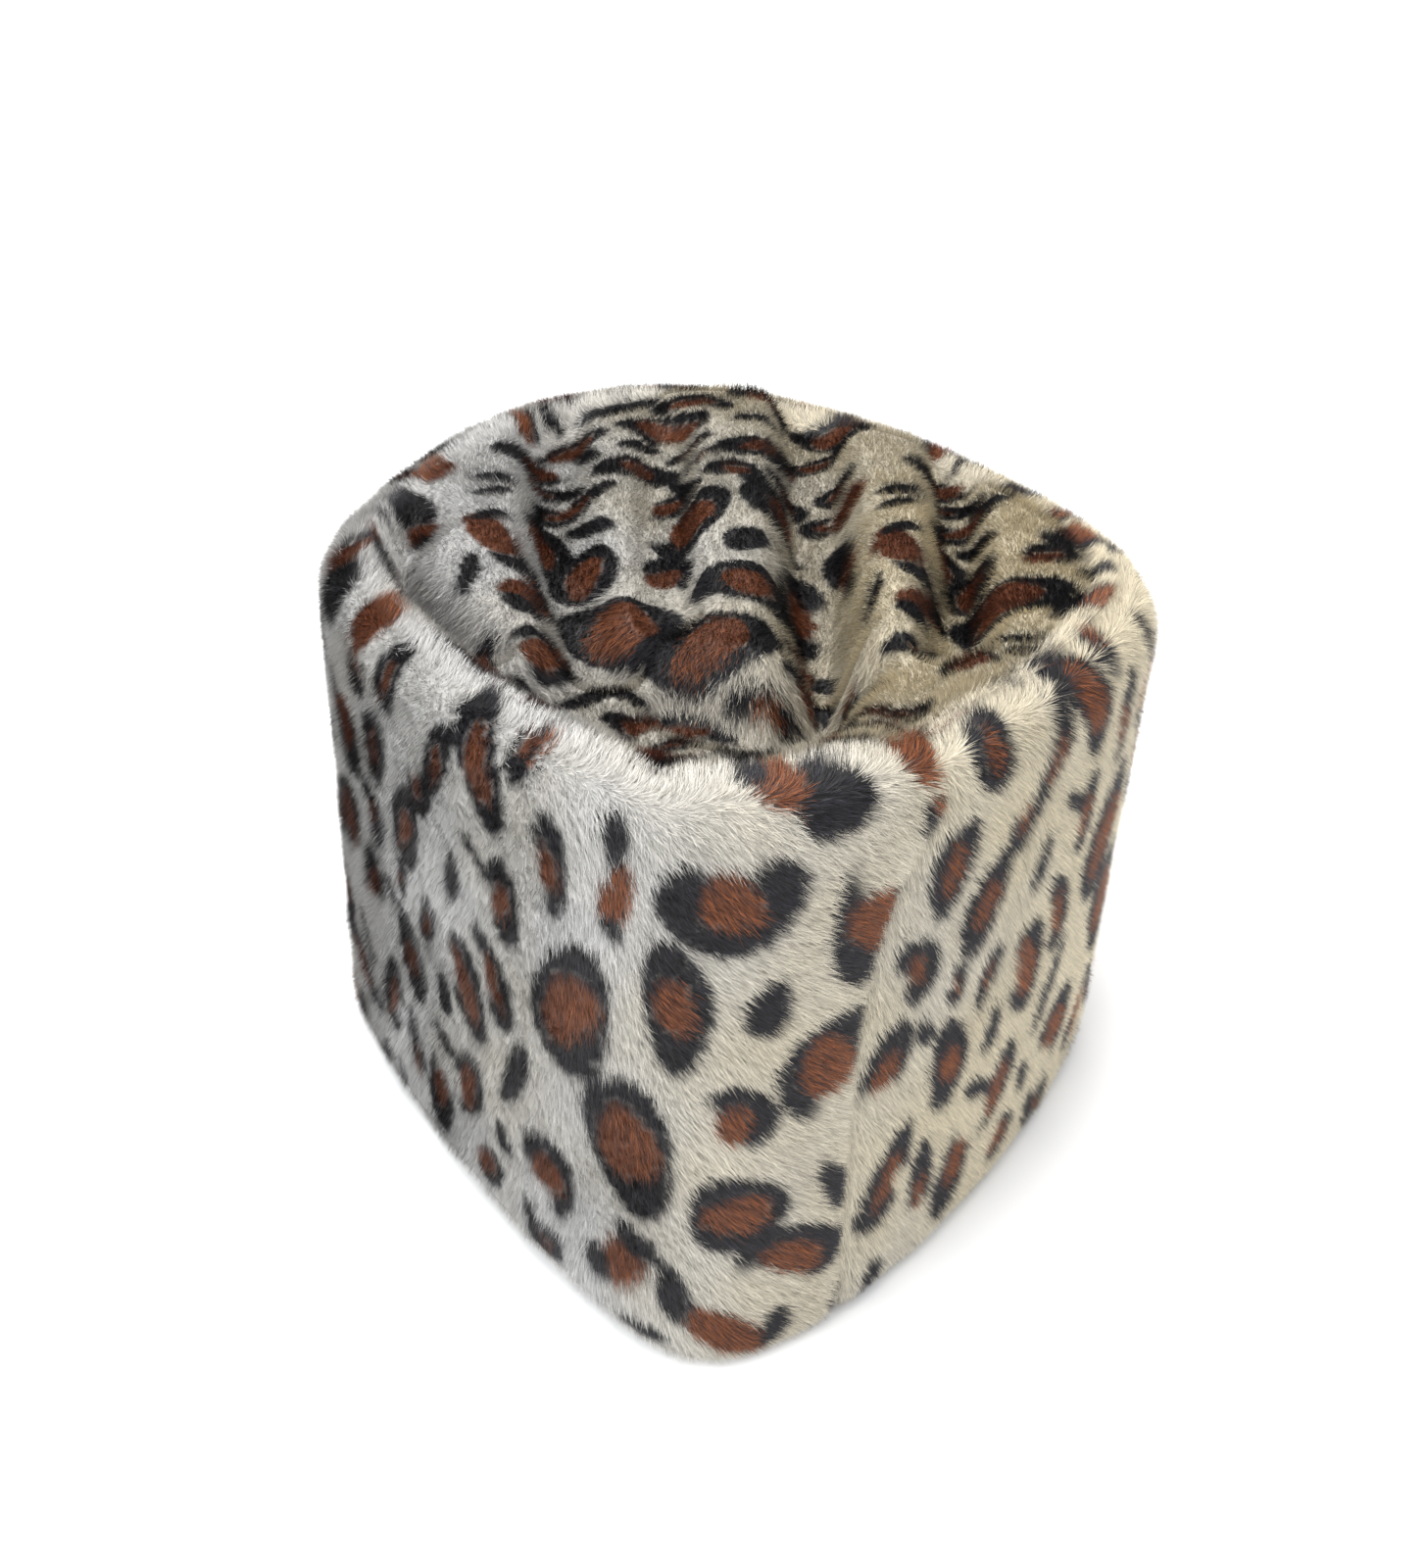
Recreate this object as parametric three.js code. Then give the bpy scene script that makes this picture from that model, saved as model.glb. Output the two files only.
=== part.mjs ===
// A kufi of short-piled leopard-print cloth: a deep side band drawn out to a soft corner, and a
// gathered crown that hangs into it in folds. Millimetres, +Z up. The foot of the band stands on
// Z = 0, the corner points along -Y, and the middle of the plan is on the Z axis.

import * as THREE from 'three';

// Thickness of the backing together with the pile that lies on it
const FUR_CLOTH = 4;
// The lower edge of the band is turned up inside to this height and is this much thicker there
const HEM_HEIGHT = 20;
const HEM_CLOTH = 3;
// Height over which the turned hem runs out into the plain inside of the band
const HEM_TAPER = 5;
// Rounding of the pile under the foot, outside and inside
const FOOT_ROUND = 2.5;
const HEM_ROUND = 1.5;
// The outside rounding passes this share of its radius above the foot and in from the wall
const FOOT_ROUND_SHARE = 0.3;
// Radius of the soft turn from the wall to the crown seam
const RIM_ROLL = 11;
// Free width of the seam between the band and the crown
const SEAM_GAP = 0.3;
// Width over which the crown turns down from its seam, and what is added to it at the corner
const CROWN_TURN = 8;
const CROWN_TURN_AT_CORNER = 9;

const STATIONS = 84;
const FULL_TURN = 2 * Math.PI;
const QUARTER_TURN = Math.PI / 2;
// Step in angle by which the direction of the outline is measured
const ANGLE_STEP = 0.01;

// The plan at the foot and where the rim starts to turn: how far it reaches to the corner, to the
// sides and to the back, and how full it is between them, where 1 would be a straight wall
const FOOT = { corner: 112, right: 93, back: 96, left: 88, rightWall: 1.22, leftWall: 1.12, round: 1.68 };
const TOP = { corner: 103.5, right: 94.5, back: 95, left: 82.5, rightWall: 1.4, leftWall: 1.36, round: 1.6 };
// Rounding of the plan where it crosses its four reaches, as a share of the reach
const REACH_ROUND = 0.08;
// The rim is level at this height but for soft dips and creases: where, how deep, half how wide,
// in degrees from the corner towards +X
const RIM_HEIGHT = 130;
const RIM_DIPS = [
  { name: 'right side', angle: 116, depth: 11, half: 58 },
  { name: 'left side', angle: 252, depth: 4, half: 22 },
  { name: 'corner', angle: 5, depth: 1.5, half: 30 },
  { name: 'crease left of the corner', angle: -6, depth: 2, half: 6 },
  { name: 'crease right of the corner', angle: 27, depth: 3, half: 6 },
  { name: 'second crease', angle: 45, depth: 2.5, half: 6 },
];

// Crests and valleys of the crown: half the width that each one shapes, and three points of its
// line as x, y and height
const FOLDS = [
  { name: 'left lobe', half: 11, line: [[-76, 40, 125], [-74, 24, 125], [-68, 8, 121]] },
  { name: 'left ridge', half: 12, line: [[-54, 44, 128], [-48, 4, 128], [-40, -34, 120]] },
  { name: 'left trench', half: 5, line: [[-70, -6, 112], [-62, -18, 107], [-46, -34, 101]] },
  { name: 'left valley', half: 7, line: [[-38, 62, 120], [-33, 4, 112], [-25, -24, 102]] },
  { name: 'middle left', half: 9, line: [[-24, 62, 127], [-24, 21, 124], [-23, -8, 116]] },
  { name: 'middle valley', half: 6, line: [[-11, 54, 123], [-11, 16, 118], [-9, -13, 112]] },
  { name: 'middle ridge', half: 11, line: [[5, 88, 132], [4, 19, 128], [9, -22, 116]] },
  { name: 'deep valley', half: 8, line: [[25, 76, 120], [24, 13, 109], [23, -18, 95]] },
  { name: 'right ridge', half: 10, line: [[41, 72, 126], [40, 0, 126], [38, -42, 119]] },
  { name: 'right valley', half: 6, line: [[58, 52, 116], [54, 6, 110], [48, -32, 105]] },
  { name: 'small ridge', half: 7, line: [[68, 50, 122], [66, 10, 122], [61, -16, 121]] },
  { name: 'right shoulder', half: 12, line: [[80, 0, 122], [72, -32, 124], [51, -52, 123]] },
  { name: 'front swell', half: 8, line: [[-28, -40, 106], [-16, -50, 109], [0, -58, 108]] },
  { name: 'low ground', half: 9, line: [[0, -40, 99], [14, -42, 95], [24, -36, 93]] },
];
// How sharply a fold's pull on the cloth fades beyond its half width
const FOLD_FADE = 1.5;
// Cloth away from every fold hangs at this height, and this small weight brings it in
const LOOSE_HEIGHT = 123;
const LOOSE_WEIGHT = 0.008;

// Heights of the band's wall as shares of the way from the foot to the rim's turn
const WALL_SHARES = [0.15, 0.3, 0.45, 0.6, 0.75, 0.9, 1];
// Shares of the rim's quarter turn
const TURN_SHARES = [0.2, 0.4, 0.6, 0.8, 1];
// Rings of the crown as shares of the way from its middle to its seam
const CROWN_SHARES = [1, 0.975, 0.94, 0.9, 0.85, 0.79, 0.73, 0.66, 0.59, 0.52, 0.45, 0.37, 0.29, 0.2, 0.1];

// Share of a direction that points along one axis, rounded where it crosses the other
function roundedShare(along, across) {
  return Math.hypot(along, REACH_ROUND * across) - REACH_ROUND * Math.abs(across);
}

// Distance of a plan's edge from its middle, in four quarters that meet at its reaches
function edgeRadius(plan, angle) {
  const sideways = Math.sin(angle);
  const ahead = Math.cos(angle);
  const side = sideways > 0 ? plan.right : plan.left;
  const wall = sideways > 0 ? plan.rightWall : plan.leftWall;
  const end = ahead > 0 ? plan.corner : plan.back;
  const fullness = ahead > 0 ? wall : plan.round;
  const across = roundedShare(sideways, ahead) / side;
  const along = roundedShare(ahead, sideways) / end;
  return (across ** fullness + along ** fullness) ** (-1 / fullness);
}

function rimHeight(angle) {
  let height = RIM_HEIGHT;
  for (const dip of RIM_DIPS) {
    const turn = THREE.MathUtils.radToDeg(angle) - dip.angle;
    const away = THREE.MathUtils.euclideanModulo(turn + 180, 360) - 180;
    height -= dip.depth * Math.exp(-((away / dip.half) ** 2));
  }
  return height;
}

// Easing from 0 to 1 with level ends
function ease(value) {
  const t = THREE.MathUtils.clamp(value, 0, 1);
  return t * t * (3 - 2 * t);
}

// Point of the band's outer face in plan, at a share of the way up the wall
function planPoint(angle, share) {
  const radius = THREE.MathUtils.lerp(edgeRadius(FOOT, angle), edgeRadius(TOP, angle), share);
  return new THREE.Vector2(radius * Math.sin(angle), -radius * Math.cos(angle));
}

// Plan direction that points straight in from the outer face
function inwardDirection(angle, share) {
  const ahead = planPoint(angle + ANGLE_STEP, share);
  const behind = planPoint(angle - ANGLE_STEP, share);
  const along = ahead.sub(behind).normalize();
  return new THREE.Vector2(-along.y, along.x);
}

// Point of the wall at a height, so far in from the outer face
function wallPoint(angle, height, inset) {
  const share = height / (rimHeight(angle) - RIM_ROLL);
  const plan = planPoint(angle, share).addScaledVector(inwardDirection(angle, share), inset);
  return new THREE.Vector3(plan.x, plan.y, height);
}

// Point of the rim's turn, from the wall at 0 to the crown seam at 1
function rimPoint(angle, turn, inset) {
  const radius = RIM_ROLL - inset;
  const tilt = turn * QUARTER_TURN;
  const inward = RIM_ROLL - radius * Math.cos(tilt);
  const plan = planPoint(angle, 1).addScaledVector(inwardDirection(angle, 1), inward);
  const height = rimHeight(angle) - RIM_ROLL + radius * Math.sin(tilt);
  return new THREE.Vector3(plan.x, plan.y, height);
}

// Section of the band at one angle: up the outer face, over the rim and down the inside
function bandSection(angle) {
  const wallTop = rimHeight(angle) - RIM_ROLL;
  const hemInset = FUR_CLOTH + HEM_CLOTH;
  const outside = WALL_SHARES.map((share) => wallPoint(angle, share * wallTop, 0));
  const over = TURN_SHARES.map((share) => rimPoint(angle, share, 0));
  const under = TURN_SHARES.toReversed().map((share) => rimPoint(angle, share, FUR_CLOTH));
  const plainInside = WALL_SHARES.slice(2).toReversed();
  const inside = plainInside.map((share) => wallPoint(angle, share * wallTop, FUR_CLOTH));
  return [
    wallPoint(angle, 0, FOOT_ROUND),
    wallPoint(angle, FOOT_ROUND * FOOT_ROUND_SHARE, FOOT_ROUND * FOOT_ROUND_SHARE),
    wallPoint(angle, FOOT_ROUND, 0),
    ...outside,
    ...over,
    ...under,
    ...inside,
    wallPoint(angle, HEM_HEIGHT + HEM_TAPER, FUR_CLOTH),
    wallPoint(angle, HEM_HEIGHT, hemInset),
    wallPoint(angle, HEM_ROUND, hemInset),
    wallPoint(angle, 0, hemInset - HEM_ROUND),
  ];
}

// Nearest point of a fold's line to a place in plan: squared distance and the line's height there
function nearestOnFold(x, y, line) {
  let best = { distance: Infinity, height: 0 };
  for (let i = 0; i + 1 < line.length; i += 1) {
    const [startX, startY, startHeight] = line[i];
    const [endX, endY, endHeight] = line[i + 1];
    const runX = endX - startX;
    const runY = endY - startY;
    const along = ((x - startX) * runX + (y - startY) * runY) / (runX * runX + runY * runY);
    const t = THREE.MathUtils.clamp(along, 0, 1);
    const distance = (x - startX - t * runX) ** 2 + (y - startY - t * runY) ** 2;
    if (distance < best.distance) {
      best = { distance, height: THREE.MathUtils.lerp(startHeight, endHeight, t) };
    }
  }
  return best;
}

// Height to which the folds pull the crown at a place in plan
function foldedHeight(x, y) {
  let weights = LOOSE_WEIGHT;
  let heights = LOOSE_WEIGHT * LOOSE_HEIGHT;
  for (const fold of FOLDS) {
    const near = nearestOnFold(x, y, fold.line);
    const weight = (1 + (near.distance / fold.half ** 2) ** 2) ** -FOLD_FADE;
    weights += weight;
    heights += weight * near.height;
  }
  return heights / weights;
}

// Point of the crown's upper face at a share of the way out to its seam
function crownPoint(angle, share) {
  const inward = inwardDirection(angle, 1);
  const seam = planPoint(angle, 1).addScaledVector(inward, RIM_ROLL + SEAM_GAP);
  const fromSeam = (1 - share) * seam.length();
  const cornerness = Math.max(Math.cos(angle), 0) ** 2;
  const turnWidth = CROWN_TURN + CROWN_TURN_AT_CORNER * cornerness;
  const rim = rimHeight(angle);
  const place = seam.multiplyScalar(share);
  const height = THREE.MathUtils.lerp(rim, foldedHeight(place.x, place.y), ease(fromSeam / turnWidth));
  return new THREE.Vector3(place.x, place.y, height);
}

// Face corners between two rings of points that start at the given indices. Each four-cornered
// patch is split along the diagonal whose ends differ least in height, so that folds run cleanly.
function ringFaces(points, first, second) {
  const faces = [];
  for (let i = 0; i < STATIONS; i += 1) {
    const next = (i + 1) % STATIONS;
    const [a, b, c, d] = [first + i, first + next, second + next, second + i];
    if (Math.abs(points[a].z - points[c].z) <= Math.abs(points[b].z - points[d].z)) {
      faces.push(a, b, c, a, c, d);
    } else {
      faces.push(a, b, d, b, c, d);
    }
  }
  return faces;
}

// Face corners between a ring and the single point that closes it
function capFaces(ring, middle) {
  const faces = [];
  for (let i = 0; i < STATIONS; i += 1) {
    faces.push(ring + i, ring + (i + 1) % STATIONS, middle);
  }
  return faces;
}

function stationAngles() {
  return Array.from({ length: STATIONS }, (_, i) => (i / STATIONS) * FULL_TURN);
}

// Middle of the band's plan
function planMiddle() {
  const box = new THREE.Box3().setFromPoints(stationAngles().flatMap(bandSection));
  return box.getCenter(new THREE.Vector3());
}

// Geometry from points and face corners, with the middle of the plan moved onto the Z axis
function solidFrom(points, faces) {
  const geometry = new THREE.BufferGeometry().setFromPoints(points);
  const middle = planMiddle();
  geometry.setIndex(faces);
  geometry.translate(-middle.x, -middle.y, 0);
  geometry.computeVertexNormals();
  return geometry;
}

// The band: its section carried around the hat and closed on itself
function sideBandGeometry() {
  const sections = stationAngles().map(bandSection);
  const rows = sections[0].length;
  const points = [];
  for (let row = 0; row < rows; row += 1) {
    sections.forEach((section) => points.push(section[row]));
  }
  const faces = [];
  for (let row = 0; row < rows; row += 1) {
    faces.push(...ringFaces(points, row * STATIONS, ((row + 1) % rows) * STATIONS));
  }
  return solidFrom(points, faces);
}

// The crown: its folded upper face, the same face one cloth lower, and the edge between them
function crownGeometry() {
  const angles = stationAngles();
  const upper = CROWN_SHARES.flatMap((share) => angles.map((angle) => crownPoint(angle, share)));
  upper.push(crownPoint(0, 0));
  const lower = upper.map((point) => new THREE.Vector3(point.x, point.y, point.z - FUR_CLOTH));
  const points = [...upper, ...lower];
  const below = upper.length;
  const lastRing = (CROWN_SHARES.length - 1) * STATIONS;
  const faces = [];
  for (let row = 0; row + 1 < CROWN_SHARES.length; row += 1) {
    const outer = row * STATIONS;
    const inner = outer + STATIONS;
    faces.push(...ringFaces(points, outer, inner));
    faces.push(...ringFaces(points, below + inner, below + outer));
  }
  faces.push(...capFaces(lastRing, below - 1));
  const lowerCap = capFaces(below + lastRing, 2 * below - 1);
  for (let i = 0; i < lowerCap.length; i += 3) {
    faces.push(lowerCap[i + 1], lowerCap[i], lowerCap[i + 2]);
  }
  faces.push(...ringFaces(points, below, 0));
  return solidFrom(points, faces);
}

function furMaterial(color) {
  return new THREE.MeshStandardMaterial({ color, roughness: 0.95, metalness: 0 });
}

const sideBand = new THREE.Mesh(sideBandGeometry(), furMaterial(0xb9b2a4));
sideBand.name = 'side_band';

const crown = new THREE.Mesh(crownGeometry(), furMaterial(0xb3aa98));
crown.name = 'crown';

const kufi = new THREE.Group();
kufi.name = 'kufi';
kufi.add(sideBand, crown);

export default kufi;
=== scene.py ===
# %% [markdown]
# A kufi of short-piled leopard-print cloth. It is a deep side band, drawn out to a soft corner at
# the front, and a gathered crown that sinks into the band in folds.
#
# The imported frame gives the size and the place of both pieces. The pattern's own sizes are
# written in millimetres, as a cutter would write them, and turned into metres when a mesh is made.

# %% Load the frame
import math
import bmesh
import bpy
import numpy as np
from mathutils import Matrix


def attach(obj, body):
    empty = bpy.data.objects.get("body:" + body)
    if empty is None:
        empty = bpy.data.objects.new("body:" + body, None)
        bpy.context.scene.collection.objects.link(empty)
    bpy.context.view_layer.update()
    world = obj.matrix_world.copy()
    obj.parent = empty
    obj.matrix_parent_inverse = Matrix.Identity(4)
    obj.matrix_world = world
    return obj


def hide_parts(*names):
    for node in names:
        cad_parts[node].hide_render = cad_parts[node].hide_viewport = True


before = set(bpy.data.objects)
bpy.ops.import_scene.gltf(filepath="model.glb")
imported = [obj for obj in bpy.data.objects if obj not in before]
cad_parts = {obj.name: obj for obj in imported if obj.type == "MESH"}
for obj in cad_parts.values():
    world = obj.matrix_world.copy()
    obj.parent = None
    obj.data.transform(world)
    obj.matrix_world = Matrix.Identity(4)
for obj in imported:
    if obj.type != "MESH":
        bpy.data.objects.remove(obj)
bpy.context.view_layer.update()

MM = 0.001
FULL_TURN = 2 * math.pi

# %% [markdown]
# The plan of the hat is four quarters of one soft curve. Each quarter joins two reaches: to the
# corner, to a side or to the back. A number between 1, a straight wall, and 2, a round one, says
# how full it is. The rim is level but for a broad dip at each side, a slight one at the corner and
# three small creases beside it. The outline could be traced point by point, but a few reaches are
# easier to read and to change. They are the sizes that shape the solids, so the fine surface lands
# exactly where the solid one stands.

# %% Plan and rim
# reaches from the middle, and how full the front walls and the round back are
FOOT = dict(corner=112, right=93, back=96, left=88, right_wall=1.22, left_wall=1.12, round=1.68)
TOP = dict(corner=103.5, right=94.5, back=95, left=82.5, right_wall=1.4, left_wall=1.36, round=1.6)
# how softly two quarters meet at a reach
REACH_ROUND = 0.08
RIM_HEIGHT = 130
# radius of the soft turn from the wall to the crown's seam
RIM_ROLL = 11
# where, how deep and half how wide, in degrees from the corner towards +X
RIM_DIPS = {
    "right side": (116, 11, 58),
    "left side": (252, 4, 22),
    "corner": (5, 1.5, 30),
    "crease left of the corner": (-6, 2, 6),
    "crease right of the corner": (27, 3, 6),
    "second crease": (45, 2.5, 6),
}
CLOTH_AND_PILE = 4
SEAM_GAP = 0.3
# the hem's height, the cloth that it adds and the slope at its top
HEM_HEIGHT, HEM_CLOTH, HEM_TAPER = 20, 3, 5


def edge_radius(plan, angle):
    """Reach of a plan towards an angle from the corner."""
    sideways, ahead = np.sin(angle), np.cos(angle)
    side = np.where(sideways > 0, plan["right"], plan["left"])
    wall = np.where(sideways > 0, plan["right_wall"], plan["left_wall"])
    end = np.where(ahead > 0, plan["corner"], plan["back"])
    fullness = np.where(ahead > 0, wall, plan["round"])
    across = (np.hypot(sideways, REACH_ROUND * ahead) - REACH_ROUND * np.abs(ahead)) / side
    along = (np.hypot(ahead, REACH_ROUND * sideways) - REACH_ROUND * np.abs(sideways)) / end
    return (across**fullness + along**fullness) ** (-1 / fullness)


# a small turn, to measure the direction of the edge by
NUDGE = 0.01


def rim_height(angle):
    height = RIM_HEIGHT + 0 * angle
    for place, depth, half in RIM_DIPS.values():
        away = (np.degrees(angle) - place + 180) % 360 - 180
        height = height - depth * np.exp(-((away / half) ** 2))
    return height


def plan_point(angle, share):
    """A point of the plan: share is 0 at the foot and 1 at the rim."""
    radius = edge_radius(FOOT, angle) * (1 - share) + edge_radius(TOP, angle) * share
    return np.stack([radius * np.sin(angle), -radius * np.cos(angle)], -1)


def inward(angle, share):
    """Level direction from the wall to the inside."""
    along = plan_point(angle + NUDGE, share) - plan_point(angle - NUDGE, share)
    along /= np.linalg.norm(along, axis=-1, keepdims=True)
    return np.stack([-along[..., 1], along[..., 0]], -1)


def wall_point(angle, height, inset):
    """A point of the band's wall at a height, so far in from the tips of the pile."""
    share = height / (rim_height(angle) - RIM_ROLL)
    plan = plan_point(angle, share) + inward(angle, share) * inset[..., None]
    return np.concatenate([plan, height[..., None]], -1)


def rim_point(angle, turn, inset):
    """A point of the rim's quarter turn: turn is 0 at the wall and 1 at the crown seam."""
    radius, tilt = RIM_ROLL - inset, turn * math.pi / 2
    step = (RIM_ROLL - radius * np.cos(tilt))[..., None]
    plan = plan_point(angle, 1.0) + inward(angle, 1.0) * step
    height = rim_height(angle) - RIM_ROLL + radius * np.sin(tilt)
    return np.concatenate([plan, height[..., None]], -1)


FINE_STEPS = 1440
around = np.linspace(0, FULL_TURN, FINE_STEPS + 1)
# The solids have this many stations around, and are widest just above the foot and at the rim.
STATION_COUNT, WIDEST_SHARES = 84, (0.02, 1.0)
stations = np.arange(STATION_COUNT) / STATION_COUNT * FULL_TURN
edges = np.concatenate([plan_point(stations, share) for share in WIDEST_SHARES])
PLAN_MIDDLE = (edges.min(0) + edges.max(0)) / 2
foot = plan_point(around, 0.0)
foot_round = float(np.linalg.norm(np.diff(foot, axis=0), axis=1).sum())
print("foot measures", round(foot_round), "mm around, middle", PLAN_MIDDLE.round(2))

# %% [markdown]
# The crown's cloth is bigger than the hole that it fills, so it sinks in folds. A cloth simulation
# would let them fall by chance, so they are shaped one by one: each crest and valley is a line of
# three points, with half the width that it shapes. Between them the cloth is a smooth blend, and
# it turns down from the seam with the band.

# %% Folds of the crown
# half width, then three places: to the right, back and up
FOLDS = {
    "left lobe": (11, (-76, 40, 125), (-74, 24, 125), (-68, 8, 121)),
    "left ridge": (12, (-54, 44, 128), (-48, 4, 128), (-40, -34, 120)),
    "left trench": (5, (-70, -6, 112), (-62, -18, 107), (-46, -34, 101)),
    "left valley": (7, (-38, 62, 120), (-33, 4, 112), (-25, -24, 102)),
    "middle left": (9, (-24, 62, 127), (-24, 21, 124), (-23, -8, 116)),
    "middle valley": (6, (-11, 54, 123), (-11, 16, 118), (-9, -13, 112)),
    "middle ridge": (11, (5, 88, 132), (4, 19, 128), (9, -22, 116)),
    "deep valley": (8, (25, 76, 120), (24, 13, 109), (23, -18, 95)),
    "right ridge": (10, (41, 72, 126), (40, 0, 126), (38, -42, 119)),
    "right valley": (6, (58, 52, 116), (54, 6, 110), (48, -32, 105)),
    "small ridge": (7, (68, 50, 122), (66, 10, 122), (61, -16, 121)),
    "right shoulder": (12, (80, 0, 122), (72, -32, 124), (51, -52, 123)),
    "front swell": (8, (-28, -40, 106), (-16, -50, 109), (0, -58, 108)),
    "low ground": (9, (0, -40, 99), (14, -42, 95), (24, -36, 93)),
}
# how fast a fold's pull fades, and the height that the cloth keeps between folds, with its pull
FOLD_FADE = 1.5
LOOSE_HEIGHT, LOOSE_WEIGHT = 123, 0.008
# width of the turn down from the seam, and what is added to it at the corner
CROWN_TURN, CROWN_TURN_AT_CORNER = 8, 9


def ease(value):
    """A soft step from 0 to 1."""
    t = np.clip(value, 0, 1)
    return t * t * (3 - 2 * t)


def folded_height(x, y):
    """Height to which the folds pull the crown at a place in plan."""
    weights, heights = LOOSE_WEIGHT, LOOSE_WEIGHT * LOOSE_HEIGHT
    for half, *line in FOLDS.values():
        nearest, level = np.inf, 0.0
        for start, end in zip(line, line[1:]):
            run_x, run_y = end[0] - start[0], end[1] - start[1]
            t = ((x - start[0]) * run_x + (y - start[1]) * run_y) / (run_x**2 + run_y**2)
            t = np.clip(t, 0, 1)
            distance = (x - start[0] - t * run_x) ** 2 + (y - start[1] - t * run_y) ** 2
            level = np.where(distance < nearest, start[2] + (end[2] - start[2]) * t, level)
            nearest = np.minimum(distance, nearest)
        weight = (1 + (nearest / half**2) ** 2) ** -FOLD_FADE
        weights, heights = weights + weight, heights + weight * level
    return heights / weights


def crown_point(angle, share):
    """A point of the crown's upper face: share is 0 in the middle and 1 at the seam."""
    seam = plan_point(angle, 1.0) + inward(angle, 1.0) * (RIM_ROLL + SEAM_GAP)
    way_in = (1 - share) * np.hypot(seam[..., 0], seam[..., 1])
    turn = CROWN_TURN + CROWN_TURN_AT_CORNER * np.clip(np.cos(angle), 0, 1) ** 2
    place = seam * share[..., None]
    rim = rim_height(angle)
    folded = folded_height(place[..., 0], place[..., 1])
    height = rim + (folded - rim) * ease(way_in / turn)
    return np.concatenate([place, height[..., None]], -1)


middle_line = crown_point(np.array([0.0, math.pi])[:, None], np.linspace(0, 1, 200)[None])
highest, lowest = (round(float(end)) for end in (middle_line[..., 2].max(), middle_line[..., 2].min()))
print("crown falls from", highest, "to", lowest, "mm")

# %% [markdown]
# The print belongs to the flat cloth, before it is sewn. So each place on the hat needs its place
# on the cloth: for the band the way around and the way up, for the crown the way along the folded
# surface, which is longer than the way in plan. It could be projected from above, but on steep
# cloth that draws the marks long. A print laid like this bends over the folds as the real one does.

# %% Places on the cloth
half_turns = np.linspace(-math.pi, math.pi, FINE_STEPS + 1)
half_height = plan_point(half_turns, 0.5)
way_round = np.concatenate([[0], np.cumsum(np.linalg.norm(np.diff(half_height, axis=0), axis=1))])
way_round -= np.interp(0, half_turns, way_round)


def band_way(angle):
    """Way around the band from the corner, in millimetres."""
    return np.interp((angle + math.pi) % FULL_TURN - math.pi, half_turns, way_round)


# a grid over the crown's plan: its cell and how far it reaches from the middle
CELL = 1.0
REACH = 96
line = np.arange(-REACH, REACH + CELL, CELL)
plan_x, plan_y = np.meshgrid(line, line, indexing="ij")
seam_edge = plan_point(around, 1.0) + inward(around, 1.0) * (RIM_ROLL + SEAM_GAP)
seam_turn = np.unwrap(np.arctan2(seam_edge[:, 0], -seam_edge[:, 1]))
seam_reach = np.interp(np.arctan2(plan_x, -plan_y) % FULL_TURN, seam_turn, np.hypot(*seam_edge.T))
inside_crown = np.clip(np.hypot(plan_x, plan_y) / seam_reach, 0, 1)
crown_rise = crown_point(np.arctan2(plan_x, -plan_y) % FULL_TURN, inside_crown)[..., 2]


def lengths_along(axis):
    """Length of the crown's surface from its middle line, along one direction of the plan."""
    steps = np.hypot(CELL, np.diff(crown_rise, axis=axis))
    way = np.concatenate([np.zeros_like(crown_rise.take([0], axis)), np.cumsum(steps, axis)], axis)
    return way - way.take([len(line) // 2], axis)


CROWN_WAYS = (lengths_along(0), lengths_along(1))


def crown_way(x, y):
    """Way across and way back on the crown's cloth, in millimetres."""
    i = np.clip(((x + REACH) / CELL).astype(int), 0, len(line) - 2)
    j = np.clip(((y + REACH) / CELL).astype(int), 0, len(line) - 2)
    s, t = (x + REACH) / CELL - i, (y + REACH) / CELL - j
    return tuple(
        (1 - s) * ((1 - t) * way[i, j] + t * way[i, j + 1])
        + s * ((1 - t) * way[i + 1, j] + t * way[i + 1, j + 1])
        for way in CROWN_WAYS
    )


print("band cloth", round(way_round[-1] - way_round[0]), "mm around")
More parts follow.
